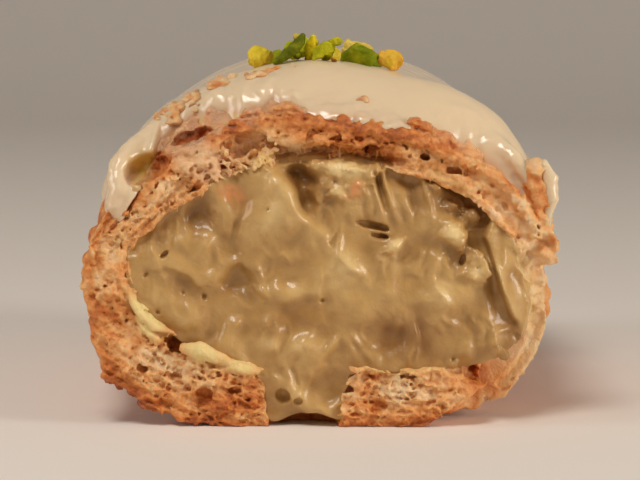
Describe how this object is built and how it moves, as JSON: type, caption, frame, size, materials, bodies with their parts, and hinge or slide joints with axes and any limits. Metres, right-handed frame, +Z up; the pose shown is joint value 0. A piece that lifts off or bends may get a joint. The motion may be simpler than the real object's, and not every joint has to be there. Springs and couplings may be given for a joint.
{
  "type": "filled eclair, cut half",
  "caption": "Half of a filled eclair, cut across: a craggy choux shell full of pistachio cream, with pale poured icing over the top and chopped pistachio on it.",
  "frame": {"origin": "on the foot, under the middle of the piece's length and width", "axes": "+Y from the cut face to the round end, +Z up from the foot, +X to the right as the cut face is looked at"},
  "size_m": [0.0481, 0.0633, 0.038],
  "materials": {
    "choux": "baked choux crust, golden brown, with a porous torn crumb at the cut",
    "cream": "soft pistachio cream, smooth and moist, rippled where the knife drew through it",
    "icing": "poured ivory icing, glossy, with set drips",
    "pistachio": "chopped pistachio kernels, green to yellow"
  },
  "bodies": {
    "root": {"choux_shell": "choux", "pistachio_cream": "cream", "icing": "icing"}
  },
  "joints": []
}
